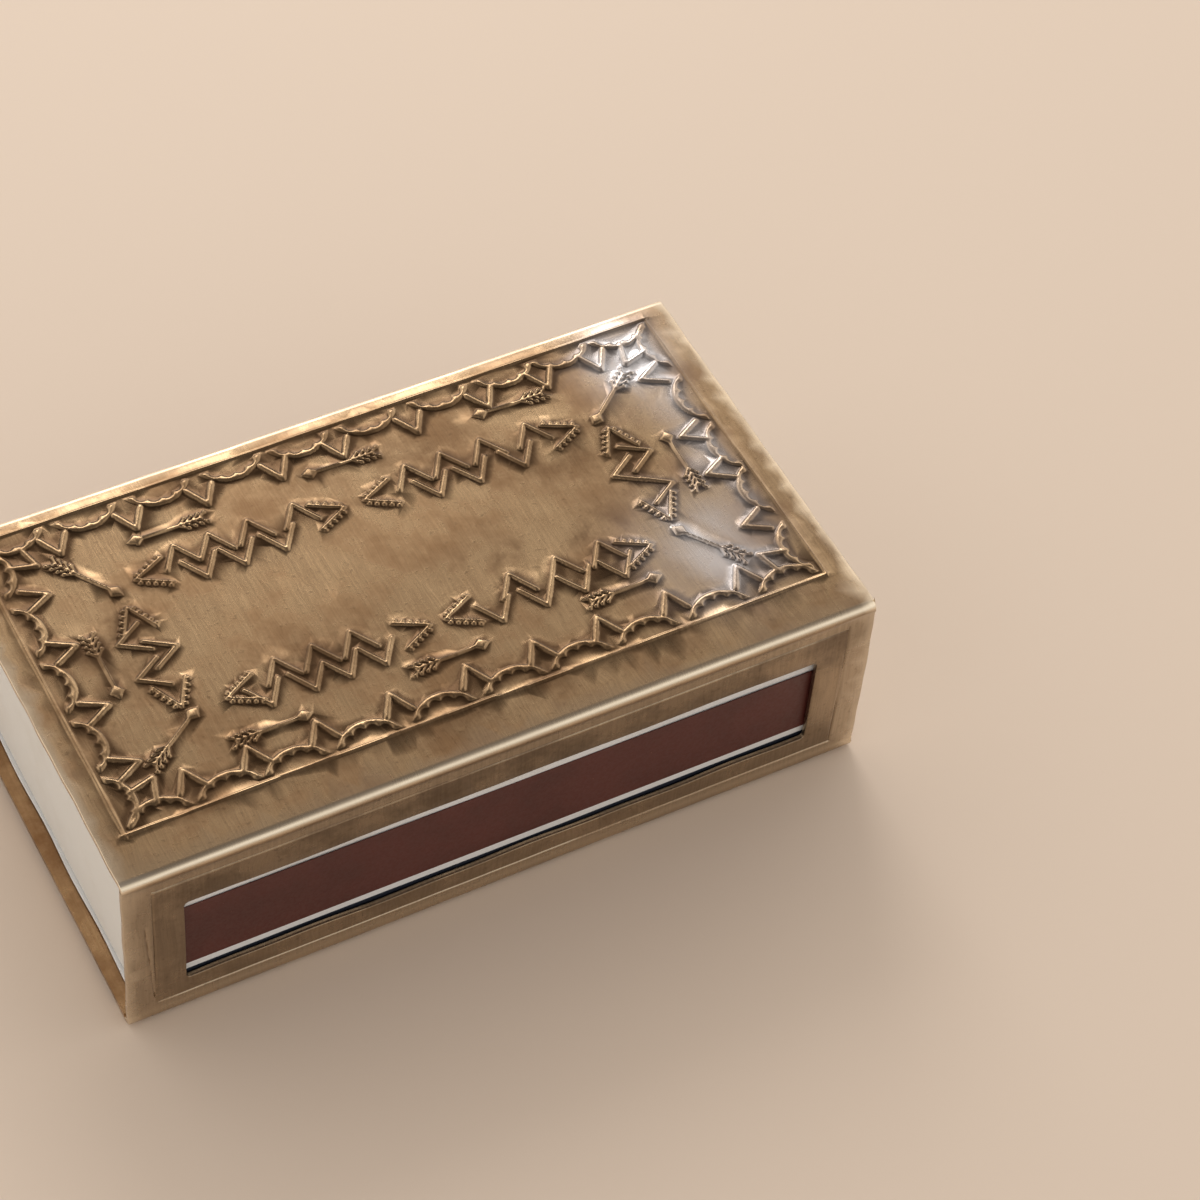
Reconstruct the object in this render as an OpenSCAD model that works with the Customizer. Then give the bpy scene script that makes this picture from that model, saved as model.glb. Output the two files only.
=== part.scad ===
// Matchbox holder: an embossed sheet brass cover around a slide-tray carton of kitchen matches.
// X runs along the cover, Y runs across it with the photographed side at -Y, and Z is up.
// The origin is on the table, below the middle of the cover.

/* [Cover] */
// Length of the cover, open at both ends
cover_l = 122; // [112:1:134]
// Width of the cover over its two side walls
cover_w = 69.4; // [67:0.2:76]
// Height of the flat top sheet above the table
cover_h = 35.3; // [33:0.1:42]
// Thickness of the brass sheet
sheet_t = 0.9; // [0.7:0.1:1.1]
// Outside radius of the four long folds
fold_r = 1.5; // [1.3:0.1:2.2]
// Width of the flanges turned in below the base plate
flange_w = 5; // [4:0.5:8]
// Gap between the inner curve of a lower fold and the long edge of the base plate
plate_gap = 0.2; // [0.1:0.1:0.6]

/* [Striker windows] */
// Metal left between a window and each open end
window_end = 9.4; // [8:0.2:14]
// Height of a window's lower edge above the table
window_z = 7.3; // [6.5:0.1:9]
// Height of a window
window_h = 18.8; // [15:0.1:19.5]
// Radius of a window's corners
window_r = 0.8; // [0.4:0.1:1.5]
// Distance from a window to the scribed frame around it, along and below it
scribe_gap_x = 4.9; // [3:0.1:5.5]
scribe_gap_low = 3.6; // [2.5:0.1:3.8]
// Distance from a window's upper edge to the scribed frame
scribe_gap_high = 5.2; // [3.5:0.1:5.4]
// Width and depth of the scribed lines
scribe_w = 0.4; // [0.2:0.05:0.6]
scribe_d = 0.25; // [0.1:0.05:0.35]

/* [Top panel] */
// Distance from the raised frame line to each open end
panel_end = 4.2; // [3:0.1:7]
// Distance from the raised frame line to the front side wall
panel_front = 8.4; // [5:0.1:9]
// Distance from the raised frame line to the back side wall
panel_back = 3.2; // [2.8:0.1:7]
// Width and height of the raised frame line
frame_w = 0.8; // [0.5:0.1:1.2]
frame_h = 0.35; // [0.2:0.05:0.5]
// How far the frame lines run on past the corners
frame_overrun = 0.5; // [0.2:0.1:1]

/* [Stamped ornament] */
// Height of the raised ornament above the top sheet
relief_h = 0.45; // [0.3:0.05:0.7]
// Width of a stamped line
line_w = 0.85; // [0.6:0.05:1.1]
// Length of a crescent's chord, its rise and the width of its band
crescent_l = 10.4; // [8:0.1:11]
crescent_rise = 3.4; // [2.6:0.1:4]
crescent_band = 1.7; // [1.3:0.1:2]
// Clear strip between the frame line and the crescents
crescent_gap = 0.5; // [0.3:0.1:1]
// Number of crescents along a long side and along a short side
crescents_long = 10; // [8:1:10]
crescents_short = 5; // [4:1:5]
// Depth and half width of a border chevron
chevron_d = 3.7; // [3:0.1:4.5]
chevron_half = 2.1; // [1.6:0.1:2.6]
// Distance from the frame line to the point of a border chevron
chevron_reach = 6.9; // [6:0.1:7.6]
// Depth and half width of a zigzag's chevron
zig_d = 4.2; // [3.5:0.1:5]
zig_half = 2.7; // [2:0.1:3]
// Height of a zigzag over its points
zig_h = 7.7; // [6.5:0.1:9]
// Distance between the points of a zigzag
zig_pitch = 6.6; // [6:0.1:7.2]
// Distance from the last point of a zigzag to the point of the comb at its end
comb_reach = 7.5; // [7:0.1:8.5]
// Length, half width and tooth length of a comb
comb_l = 5; // [4:0.1:6]
comb_half = 2.8; // [2:0.1:3.5]
comb_tooth = 0.6; // [0.4:0.1:0.9]
// Distance of the long zigzags from the long frame lines, and from the middle of the panel
zig_inset = 16; // [14:0.1:17]
zig_mid = 19.1; // [18.5:0.1:19.5]
// Distance of the short zigzags from the short frame lines
zig_end_inset = 16.3; // [15:0.1:17.5]
// Length and half width of an arrow, over its head
arrow_l = 13.3; // [11:0.1:15]
arrow_half = 1.1; // [0.8:0.1:1.4]
// Half width of an arrow's shaft
shaft_half = 0.35; // [0.25:0.05:0.5]
// Distance of the side arrows from the nearest frame line
arrow_inset = 9; // [8.5:0.1:9.6]
// Distance along a long side between the side arrows
arrow_step = 29; // [26:0.5:31]
// Distance of the corner arrows from the two nearest frame lines
corner_arrow_x = 13; // [12:0.1:14]
corner_arrow_y = 12.6; // [12:0.1:13.5]

/* [Solder] */
// How far the solder seams stop short of the open ends
solder_end = 4; // [2:0.5:10]
// Height of the solder on the side wall
solder_leg = 0.9; // [0.5:0.1:1.2]

/* [Carton] */
// How far the carton's ends lie inside the cover's open ends
carton_inset = 2.2; // [0.5:0.1:4]
// Clearance between the carton and each side wall
carton_side_gap = 0.45; // [0.4:0.05:0.8]
// Clearance between the carton and the top sheet, and the same above the base plate
carton_gap = 0.3; // [0.2:0.05:0.6]
// Thickness of the carton's board
board_t = 0.6; // [0.4:0.05:0.8]
// Outside radius of the carton's folds
board_r = 0.7; // [0.5:0.1:1.2]
// Width of the flap glued under the carton's top
flap_w = 14; // [8:1:25]

/* [Strikers] */
// Height of a striking surface
striker_h = 14.2; // [10:0.1:16]
// Height of its lower edge above the carton's base
striker_low = 7.2; // [6:0.1:9]
// Thickness of the striking surface
striker_t = 0.15; // [0.1:0.05:0.2]

/* [Tray] */
// Clearance between the tray and the carton, at each side, above and below
tray_gap = 0.3; // [0.2:0.05:0.6]
// How far the tray's ends lie inside the carton's ends
tray_inset = 0.6; // [0.3:0.1:2]
// Thickness of the tray's board
tray_t = 0.6; // [0.4:0.05:0.8]
// Layers of board in each end wall of the tray
end_layers = 2; // [1:1:3]

/* [Matches] */
// Side of a square matchstick
stick_w = 2.2; // [1.8:0.1:2.4]
// Room between a match's ends and the tray's side walls
match_end_gap = 1.55; // [1.3:0.05:3]
// Length and radius of a match head
head_l = 3.6; // [3:0.1:5]
head_r = 1.45; // [1.3:0.05:1.5]
// Distance between neighbouring matches in a layer, and between layers
match_pitch = 3.15; // [3.1:0.05:3.6]
layer_pitch = 3.1; // [3.05:0.05:3.4]
// Number of layers of matches left in the tray
match_layers = 4; // [1:1:5]
// How far a match lies off the middle of the tray, at most
match_shift = 0.5; // [0:0.1:0.9]

/* [Hidden] */
$fn = 48;
cut = 1;
lap = 0.2;
match_float = 0.05;

plate_top = 2 * sheet_t;
inner_w = cover_w - 2 * sheet_t;
seam_gap = fold_r - sheet_t + plate_gap;
plate_w = inner_w - 2 * seam_gap;
window_l = cover_l - 2 * window_end;

panel_l = cover_l - 2 * panel_end;
panel_w = cover_w - panel_front - panel_back;
panel_y = (panel_front - panel_back) / 2;

carton_l = cover_l - 2 * carton_inset;
carton_w = inner_w - 2 * carton_side_gap;
carton_z = plate_top + carton_gap;
carton_h = cover_h - sheet_t - carton_gap - carton_z;

tray_l = carton_l - 2 * tray_inset;
tray_w = carton_w - 2 * board_t - 2 * tray_gap;
tray_z = carton_z + board_t + tray_gap;
tray_h = carton_h - 3 * board_t - 2 * tray_gap;
tray_end = end_layers * tray_t;

match_room = tray_l - 2 * tray_end - 2 * tray_gap;
match_count = floor((match_room - 2 * head_r) / match_pitch) + 1;
match_l = tray_w - 2 * tray_t - 2 * match_end_gap;
stick_l = match_l - head_l;
bed_z = tray_z + tray_t + head_r + match_float;

// Every stamp was struck by eye: how far each one stands off even spacing, in millimetres
drift_back = [0.2, 0.9, 1.2, 2.1, 1, 2.1, 3, 1.9, -0.2];
drift_front = [0.4, -1.1, -1.6, -1.2, -0.3, -0.7, -1.3, -1.2, -0.4];
drift_left = [-0.6, -1.1, -0.7, -1.7];
drift_right = [1.9, 1.7, -1.5, 0.1];
arrow_drift_back = [0, 1.2, 1.4];
arrow_drift_front = [-0.5, 0.5, 1.1];

// The same along each zigzag, from comb to comb: two rows at the back, two in front, two at the ends
zig_drift = [[[-0.7, -0.6, -1.5, -1.6, -2, -1.9, -2, -1, -1.5],
              [-1.6, -0.7, -1.4, -1.3, -1.2, -1.2, -0.2, 0, -0.2]],
             [[2.5, 0.5, 0.7, 0.8, 0.1, -0.2, -0.3, -1.2, 0.2],
              [-0.7, -0.5, 0.8, 0.2, 1.9, 0, 2.6, 0.2, -1]]];
zig_end_drift = [[0.3, 0, 0.2, 0.4, -1.1], [0.3, -0.5, -1.4, 0.1, -1.1]];
zig_end_shift = [-1.1, 0.1];

// Slopes of the corner arrows, in degrees, at the front and then at the back
corner_slopes = [[34, 53], [54, 38]];

// How far the front row of arrows stands to the left, and the corner chevrons stand inwards
arrow_lag = 1.5;
corner_set = 0.6;

// Details of the stamps: the crescent's tips and lobes, the comb's teeth, the arrow's head and tail
tip_taper = 0.3;
lobe_r = 0.95;
lobe_step = 22;
comb_teeth = 5;
comb_land = 0.42;
head_broad = 1.8;
head_neck = 3.2;
tail_split = 1.6;
barbs = 3;
barb_step = 1.5;
barb_high = 0.95;
barb_low = 0.45;

// A rectangle of size w by h, centred, with corners of radius r
module round_rect(w, h, r) {
    square([w - 2 * r, h], center = true);
    square([w, h - 2 * r], center = true);
    for (sx = [-1, 1], sy = [-1, 1])
        translate([sx * (w / 2 - r), sy * (h / 2 - r)])
            circle(r = r);
}

// Extrudes its child along X: the child's X becomes Y and its Y becomes Z
module along(l) {
    translate([-l / 2, 0, 0])
        rotate([90, 0, 90])
            linear_extrude(height = l)
                children();
}

// A rounded rectangle of size w by h, centred across, standing on height z
module standing_rect(w, h, r, z) {
    translate([0, z + h / 2])
        round_rect(w, h, r);
}

// A block along X, centred across, standing on height z
module block(l, w, h, z) {
    translate([-l / 2, -w / 2, z])
        cube([l, w, h]);
}

// Section of the folded sheet: a rounded tube, open below between the flanges
module sheet_section() {
    difference() {
        standing_rect(cover_w, cover_h, fold_r, 0);
        standing_rect(inner_w, cover_h - 2 * sheet_t, fold_r - sheet_t, sheet_t);
        translate([flange_w - cover_w / 2, -cut])
            square([cover_w - 2 * flange_w, cut + 2 * sheet_t]);
    }
}

// The striker windows, cut through both side walls
module window_cut() {
    rotate([90, 0, 0])
        translate([0, window_z + window_h / 2, -cover_w])
            linear_extrude(height = 2 * cover_w)
                round_rect(window_l, window_h, window_r);
}

// One scribed line on a side wall from x0 to x1 and from z0 to z1
module scribe_line(x0, x1, z0, z1) {
    for (side = [-1, 1])
        translate([x0, side * cover_w / 2 - scribe_d, z0])
            cube([x1 - x0, 2 * scribe_d, z1 - z0]);
}

// The scribed frame around each window
module scribed_frames() {
    half = window_l / 2 + scribe_gap_x;
    low = window_z - scribe_gap_low;
    high = window_z + window_h + scribe_gap_high;
    for (z = [low, high])
        scribe_line(-half, half, z, z + scribe_w);
    for (x = [-half, half - scribe_w])
        scribe_line(x, x + scribe_w, low, high + scribe_w);
}

// The four raised lines around the stamped panel
module frame_lines() {
    line_l = panel_l + 2 * frame_overrun;
    line_d = panel_w + 2 * frame_overrun;
    for (side = [-1, 1]) {
        translate([0, side * panel_w / 2])
            square([line_l, frame_w], center = true);
        translate([side * panel_l / 2, 0])
            square([frame_w, line_d], center = true);
    }
}

// A crescent stamp: its chord lies on the X axis and it bulges towards +Y.
// Four lobes of plain metal bite into its inner edge.
module crescent() {
    half = crescent_l / 2;
    outer_r = (half * half + crescent_rise * crescent_rise) / (2 * crescent_rise);
    inner_r = outer_r - tip_taper;
    inner_y = crescent_rise - crescent_band - inner_r;
    difference() {
        translate([0, crescent_rise - outer_r])
            circle(r = outer_r);
        translate([-crescent_l, -2 * crescent_l])
            square([2 * crescent_l, 2 * crescent_l]);
        translate([0, inner_y])
            circle(r = inner_r);
        for (i = [-1.5:1:1.5])
            translate([0, inner_y])
                rotate(i * lobe_step)
                    translate([0, inner_r - lobe_r / 2])
                        circle(r = lobe_r);
    }
}

// A chevron of two bars with its point at the origin, opening towards -Y
module chevron(depth, half, w) {
    leg = sqrt(depth * depth + half * half);
    nx = w / 2 * depth / leg;
    ny = w / 2 * half / leg;
    peak = w / 2 * leg / half;
    polygon([[0, peak], [half + nx, ny - depth], [half - nx, -ny - depth],
             [0, -peak], [nx - half, -ny - depth], [-half - nx, ny - depth]]);
}

// One arm of a comb stamp along +X, with teeth on its +Y side
module comb_arm(l) {
    pitch = l / comb_teeth;
    land = comb_land * pitch;
    edge = line_w / 2;
    points = [for (i = [0:comb_teeth - 1])
                  each [[i * pitch + land, edge], [i * pitch + land, edge + comb_tooth],
                        [(i + 1) * pitch, edge + comb_tooth], [(i + 1) * pitch, edge]]];
    polygon(concat([[l, -edge], [0, -edge], [0, edge]], points));
}

// A comb stamp: two toothed arms with their point at the origin, opening towards +X
module comb() {
    arm_l = sqrt(comb_l * comb_l + comb_half * comb_half);
    spread = atan2(comb_half, comb_l);
    rotate(spread)
        comb_arm(arm_l);
    mirror([0, 1])
        rotate(spread)
            comb_arm(arm_l);
}

// An arrow along X, centred, with its head at -X and a split, barbed tail
module arrow() {
    tail = arrow_l - barbs * barb_step;
    edge = [for (i = [0:barbs - 1])
                each [[tail + (i + 0.75) * barb_step, shaft_half + barb_high],
                      [tail + (i + 1) * barb_step, shaft_half + barb_low]]];
    upper = concat([[0, 0], [head_broad, arrow_half], [head_neck, shaft_half], [tail, shaft_half]],
                   edge, [[arrow_l - tail_split, 0]]);
    lower = [for (i = [len(upper) - 2:-1:1]) [upper[i][0], -upper[i][1]]];
    translate([-arrow_l / 2, 0])
        polygon(concat(upper, lower));
}

// A zigzag along X: chevrons that point to +Y and back by turns, between two combs.
// The drift moves each stamp along the row, from the first comb to the last.
module zigzag(drift) {
    chevrons = len(drift) - 2;
    half_span = (chevrons - 1) * zig_pitch / 4;
    for (i = [0:chevrons - 1])
        translate([i * zig_pitch / 2 - half_span + drift[i + 1], 0])
            rotate(i % 2 * 180)
                translate([0, zig_h / 2])
                    chevron(zig_d, zig_half, line_w);
    translate([drift[0] - half_span - comb_reach, 0])
        comb();
    translate([drift[chevrons + 1] + half_span + comb_reach, 0])
        mirror([1, 0])
            comb();
}

// One side of the border, with the frame line along X and the panel towards +Y
module border_side(l, count, drift) {
    even = l / count;
    marks = concat([-l / 2], [for (i = [1:count - 1]) i * even - l / 2 + drift[i - 1]], [l / 2]);
    for (i = [1:count - 1])
        translate([marks[i], chevron_reach])
            chevron(chevron_d, chevron_half, line_w);
    for (i = [0:count - 1])
        translate([(marks[i] + marks[i + 1]) / 2, crescent_gap + frame_w / 2])
            crescent();
}

// The border: crescents and chevrons along four sides and a chevron in each corner
module border() {
    corner = chevron_reach + corner_set;
    translate([0, -panel_w / 2])
        border_side(panel_l, crescents_long, drift_front);
    translate([0, panel_w / 2])
        mirror([0, 1])
            border_side(panel_l, crescents_long, drift_back);
    translate([-panel_l / 2, 0])
        mirror([1, -1])
            border_side(panel_w, crescents_short, drift_left);
    translate([panel_l / 2, 0])
        rotate(90)
            border_side(panel_w, crescents_short, drift_right);
    for (sx = [-1, 1], sy = [-1, 1])
        translate([sx * (panel_l / 2 - corner), sy * (panel_w / 2 - corner)])
            rotate(atan2(sx, -sy))
                chevron(chevron_d, chevron_half, line_w);
}

// The six zigzags around the plain middle
module zigzags() {
    row = panel_w / 2 - zig_inset;
    column = panel_l / 2 - zig_end_inset;
    for (i = [0, 1]) {
        side = 2 * i - 1;
        translate([side * zig_mid, row])
            zigzag(zig_drift[0][i]);
        translate([side * zig_mid, -row])
            mirror([0, 1])
                zigzag(zig_drift[1][i]);
        translate([side * column, zig_end_shift[i]])
            rotate(-90 * side)
                zigzag(zig_end_drift[i]);
    }
}

// The arrows outside the zigzags: three on each long side, one at each end and one in each corner
module arrows() {
    row = panel_w / 2 - arrow_inset;
    column = panel_l / 2 - arrow_inset;
    for (i = [0:2]) {
        translate([(i - 1) * arrow_step, row + arrow_drift_back[i]])
            arrow();
        translate([(i - 1) * arrow_step - arrow_lag, arrow_drift_front[i] - row])
            rotate(180)
                arrow();
    }
    translate([-column, 0])
        rotate(90)
            arrow();
    translate([column, 0])
        rotate(-90)
            arrow();
    for (ix = [0, 1], iy = [0, 1]) {
        sx = 2 * ix - 1;
        sy = 2 * iy - 1;
        slope = corner_slopes[iy][ix];
        translate([sx * (panel_l / 2 - corner_arrow_x), sy * (panel_w / 2 - corner_arrow_y)])
            rotate(atan2(sy * sin(slope), sx * cos(slope)))
                arrow();
    }
}

// All raised work on the top sheet
module relief() {
    translate([0, panel_y, cover_h - lap]) {
        linear_extrude(height = lap + frame_h)
            frame_lines();
        linear_extrude(height = lap + relief_h) {
            border();
            zigzags();
            arrows();
        }
    }
}

// The embossed cover, folded from one sheet
module cover_shell() {
    color([0.62, 0.47, 0.31])
        union() {
            difference() {
                along(cover_l)
                    sheet_section();
                window_cut();
                scribed_frames();
            }
            relief();
        }
}

// The flat base sheet, laid on the flanges inside the cover
module base_plate() {
    color([0.66, 0.5, 0.32])
        block(cover_l, plate_w, sheet_t, sheet_t);
}

// Section of the solder that fills the gap between the base plate and a side wall
module solder_section() {
    wall = inner_w / 2;
    root = plate_top - sheet_t / 2;
    difference() {
        polygon([[wall, root], [wall, root + solder_leg], [wall - seam_gap, plate_top],
                 [wall - seam_gap, root]]);
        sheet_section();
    }
}

module solder_seam() {
    color([0.62, 0.6, 0.54])
        for (side = [0, 1])
            mirror([0, side, 0])
                along(cover_l - 2 * solder_end)
                    solder_section();
}

// The carton's folded sleeve, with its glued flap under the top
module box_sleeve() {
    inside_w = carton_w - 2 * board_t;
    inside_h = carton_h - 2 * board_t;
    color([0.9, 0.88, 0.84])
        union() {
            difference() {
                along(carton_l)
                    standing_rect(carton_w, carton_h, board_r, carton_z);
                block(carton_l + 2 * cut, inside_w, inside_h, carton_z + board_t);
            }
            translate([-carton_l / 2, inside_w / 2 - flap_w, carton_z + board_t + inside_h - board_t])
                cube([carton_l, flap_w, board_t]);
        }
}

// A striking surface on the side of the carton: side is -1 at the front and 1 at the back
module striker(side) {
    color([0.36, 0.16, 0.14])
        translate([-carton_l / 2, side * (carton_w + striker_t) / 2 - striker_t / 2,
                   carton_z + striker_low])
            cube([carton_l, striker_t, striker_h]);
}

module striker_front() {
    striker(-1);
}

module striker_back() {
    striker(1);
}

// The open tray, with doubled end walls
module tray() {
    color([0.86, 0.83, 0.78])
        difference() {
            block(tray_l, tray_w, tray_h, tray_z);
            block(tray_l - 2 * tray_end, tray_w - 2 * tray_t, tray_h, tray_z + tray_t);
        }
}

// How far match i of a layer lies off the middle of the tray
function shift_of(i, layer) = match_shift * sin(137 * i + 71 * layer);

// Places its child once for every match
module each_match() {
    for (layer = [0:match_layers - 1], i = [0:match_count - 1])
        translate([(i - (match_count - 1) / 2) * match_pitch, shift_of(i, layer),
                   bed_z + layer * layer_pitch])
            children();
}

module matchsticks() {
    color([0.86, 0.72, 0.5])
        each_match()
            translate([-stick_w / 2, head_l - match_l / 2, -stick_w / 2])
                cube([stick_w, stick_l, stick_w]);
}

// Round-ended heads on the ends of the sticks
module match_heads() {
    color([0.55, 0.13, 0.1])
        each_match()
            translate([0, head_l - match_l / 2, 0])
                rotate([90, 0, 0]) {
                    cylinder(h = head_l - head_r, r = head_r);
                    translate([0, 0, head_l - head_r])
                        sphere(r = head_r);
                }
}

cover_shell();
base_plate();
solder_seam();
box_sleeve();
striker_front();
striker_back();
tray();
matchsticks();
match_heads();
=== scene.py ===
# %% [markdown]
# A matchbox holder is one sheet of brass. Its maker struck the ornament into the flat sheet with
# small punches, sawed two windows for the striking surfaces, and folded the sheet round a matchbox.
# A second flat sheet closes it below. This script keeps to the maker's order: a flat sheet, the
# stamps, the folds, the cut edges, and last the patina.
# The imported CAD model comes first. It is the frame, and every piece made here goes where it says.

# %% Load the frame
import math
import random

import bmesh
import bpy
import numpy as np
from mathutils import Matrix, Vector


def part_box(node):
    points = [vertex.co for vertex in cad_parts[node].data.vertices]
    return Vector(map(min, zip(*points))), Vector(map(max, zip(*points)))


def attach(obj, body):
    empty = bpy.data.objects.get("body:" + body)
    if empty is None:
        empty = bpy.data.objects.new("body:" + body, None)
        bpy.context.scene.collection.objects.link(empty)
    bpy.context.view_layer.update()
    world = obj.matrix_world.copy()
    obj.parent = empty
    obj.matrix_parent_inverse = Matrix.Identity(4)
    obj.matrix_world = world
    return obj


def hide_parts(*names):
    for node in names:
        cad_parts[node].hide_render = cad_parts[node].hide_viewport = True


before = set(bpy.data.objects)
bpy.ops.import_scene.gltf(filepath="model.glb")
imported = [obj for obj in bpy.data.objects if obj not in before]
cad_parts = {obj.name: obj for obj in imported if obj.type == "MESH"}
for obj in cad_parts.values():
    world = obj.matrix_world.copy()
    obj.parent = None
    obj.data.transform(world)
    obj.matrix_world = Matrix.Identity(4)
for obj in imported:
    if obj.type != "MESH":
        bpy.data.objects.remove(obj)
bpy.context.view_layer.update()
MM = 0.001
print("nodes:", ", ".join(sorted(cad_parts)))

# %% [markdown]
# Sizes are in millimetres, as a metalworker would have them, and are turned into metres where a
# mesh is finished. The overall sizes are read from the frame, so the looks can't drift from the CAD.

# %% Sizes of the cover
shell_low, shell_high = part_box("cover_shell")
relief_h = 0.45
cover_l = 2 * shell_high.x / MM
cover_w = 2 * shell_high.y / MM
cover_h = shell_high.z / MM - relief_h
sheet_t = 0.9
fold_r = 1.5
flange_w = 5.0
window_l = cover_l - 2 * 9.4
window_z = 7.3
window_top = window_z + 18.8
window_r = 0.8
panel_l = cover_l - 2 * 4.2
panel_w = cover_w - 8.4 - 3.2
panel_y = (8.4 - 3.2) / 2
print(f"cover {cover_l:.1f} x {cover_w:.1f} x {cover_h:.1f} mm")

# %% [markdown]
# The camera stands where the photographer stood. Its place and its three axes were solved from the
# straight edges of the cover, and a long lens keeps the box nearly free of perspective.

# %% Camera
FRAME_PX = 1200
FOCAL_PX = 3722.55
SENSOR_MM = 36
eye = Vector((-0.16354, -0.31320, 0.46184))
eye_right = Vector((0.88346, -0.46403, 0.06457))
eye_up = Vector((0.32375, 0.70429, 0.63179))


def make_camera():
    """Builds the camera from its solved place and axes."""
    data = bpy.data.cameras.new("photo_camera")
    data.sensor_width = SENSOR_MM
    data.lens = FOCAL_PX / FRAME_PX * SENSOR_MM
    data.clip_start = 0.01
    data.clip_end = 20
    camera = bpy.data.objects.new("photo_camera", data)
    bpy.context.scene.collection.objects.link(camera)
    back = eye_right.cross(eye_up).normalized()
    up = back.cross(eye_right).normalized()
    axes = Matrix((eye_right.normalized(), up, back)).transposed()
    camera.matrix_world = Matrix.Translation(eye) @ axes.to_4x4()
    bpy.context.scene.camera = camera
    return camera


camera = make_camera()
print("lens", round(camera.data.lens, 1), "mm")

# %% [markdown]
# The blank is one grid. Its columns run across the sheet and its rows along it, and both stand
# close together only where there is something to show: 0.2 mm under the stamps, and more on plain
# walls. A grid spends faces evenly unless its lines are listed like this.

# %% Lines of the grid
CELL = 0.2
top_half = cover_w / 2 - fold_r
arc_l = fold_r * math.pi / 2
wall_start = top_half + arc_l
lower_start = wall_start + cover_h - 2 * fold_r
flange_start = lower_start + arc_l
sheet_half = flange_start + flange_w - fold_r
scribe_low = window_z - 3.6
scribe_high = window_top + 5.2
scribe_half = window_l / 2 + 4.9


def stations(start, *stretches):
    """Grid lines from start on: each stretch runs to its end in even steps of about the size given."""
    marks = [start]
    for end, step in stretches:
        count = max(1, round(abs(end - marks[-1]) / step))
        marks += list(np.linspace(marks[-1], end, count + 1)[1:])
    return np.array(marks)


def down_wall(z):
    """The place on the sheet's section, from its middle, that ends up at height z on a wall."""
    return wall_start + cover_h - fold_r - z


side_rows = stations(
    top_half,
    (wall_start, arc_l / 12),
    (down_wall(scribe_high + 0.5), 0.4),
    (down_wall(scribe_high - 0.5), 0.12),
    (down_wall(window_top), 0.4),
    (down_wall(window_top - 1), 0.2),
    (down_wall(window_z + 1), 0.8),
    (down_wall(window_z), 0.2),
    (down_wall(scribe_low + 0.5), 0.4),
    (down_wall(scribe_low - 0.5), 0.12),
    (lower_start, 0.5),
    (flange_start, arc_l / 8),
    (sheet_half, 0.6),
)
top_rows = stations(-top_half, (-27.4, 0.4), (top_half, CELL))
rows = np.concatenate([-side_rows[::-1], top_rows[1:-1], side_rows])
columns = stations(
    -cover_l / 2, (-window_l / 2 - 6.2, 0.4), (window_l / 2 + 5.6, CELL), (cover_l / 2, 0.4)
)
print(len(columns), "columns and", len(rows), "rows")

# %% [markdown]
# A stamp is a small steel punch with one motif. Here it is a function that says how far a point
# lies inside the motif's outline, and the metal rises from that outline over a soft shoulder. The
# higher of two crossing stamps wins, as it does in metal. The same could be drawn as curves and
# bevelled, but then each motif would sit on the sheet instead of growing out of it.

# %% Striking a stamp
sheet_x, sheet_y = np.meshgrid(columns, rows)
relief = np.zeros_like(sheet_x)
hand = random.Random(7)
SHOULDER = 0.36
TOE = 0.1


def move(x, y):
    return np.array([[1, 0, x], [0, 1, y], [0, 0, 1]], float)


def turn(degrees):
    c, s = math.cos(math.radians(degrees)), math.sin(math.radians(degrees))
    return np.array([[c, -s, 0], [s, c, 0], [0, 0, 1]])


FLIP_X = np.diag([-1.0, 1.0, 1.0])
FLIP_Y = np.diag([1.0, -1.0, 1.0])
SWAP = np.array([[0, 1, 0], [1, 0, 0], [0, 0, 1]], float)


def smooth(t):
    """0 below 0, 1 above 1, and a soft step between."""
    t = np.clip(t, 0, 1)
    return t * t * (3 - 2 * t)


def strike(place, reach, inside, height, shoulder=SHOULDER):
    """Raises the metal inside one motif. place carries the motif's own axes to the sheet's."""
    place = place @ turn(hand.uniform(-1.5, 1.5))
    x, y = place[0, 2], place[1, 2]
    i0, i1 = np.searchsorted(columns, (x - reach, x + reach))
    j0, j1 = np.searchsorted(rows, (y - reach, y + reach))
    px, py = sheet_x[j0:j1, i0:i1] - x, sheet_y[j0:j1, i0:i1] - y
    lx = place[0, 0] * px + place[1, 0] * py
    ly = place[0, 1] * px + place[1, 1] * py
    raised = height * hand.uniform(0.88, 1.0) * smooth((inside(lx, ly) + TOE) / (shoulder + TOE))
    np.maximum(relief[j0:j1, i0:i1], raised, out=relief[j0:j1, i0:i1])


def off_line(lx, ly, a, b):
    """Distance of each point from the straight line between a and b."""
    dx, dy = b[0] - a[0], b[1] - a[1]
    t = np.clip(((lx - a[0]) * dx + (ly - a[1]) * dy) / (dx * dx + dy * dy), 0, 1)
    return np.hypot(lx - a[0] - t * dx, ly - a[1] - t * dy)


print("shoulder", SHOULDER, "mm")

# %% [markdown]
# Five punches made the whole pattern: a chevron, a scalloped crescent, a comb, an arrow and a
# straight liner. All are common in souvenir silver and brass. Each function below is one punch.

# %% The five punches
CHEVRON_W = 1.15
ZIGZAG_W = 0.85
crescent_l, crescent_rise, crescent_band = 10.4, 3.4, 1.6
LOBES = (-33, -11, 11, 33)
lobe_r = 1.0


def chevron(depth, half, width):
    """Two bars that meet in a point at the origin and open towards -Y."""
    def inside(lx, ly):
        legs = [off_line(lx, ly, (0, 0), (s * half, -depth)) for s in (-1, 1)]
        return width / 2 - np.minimum(*legs)
    return inside


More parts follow.
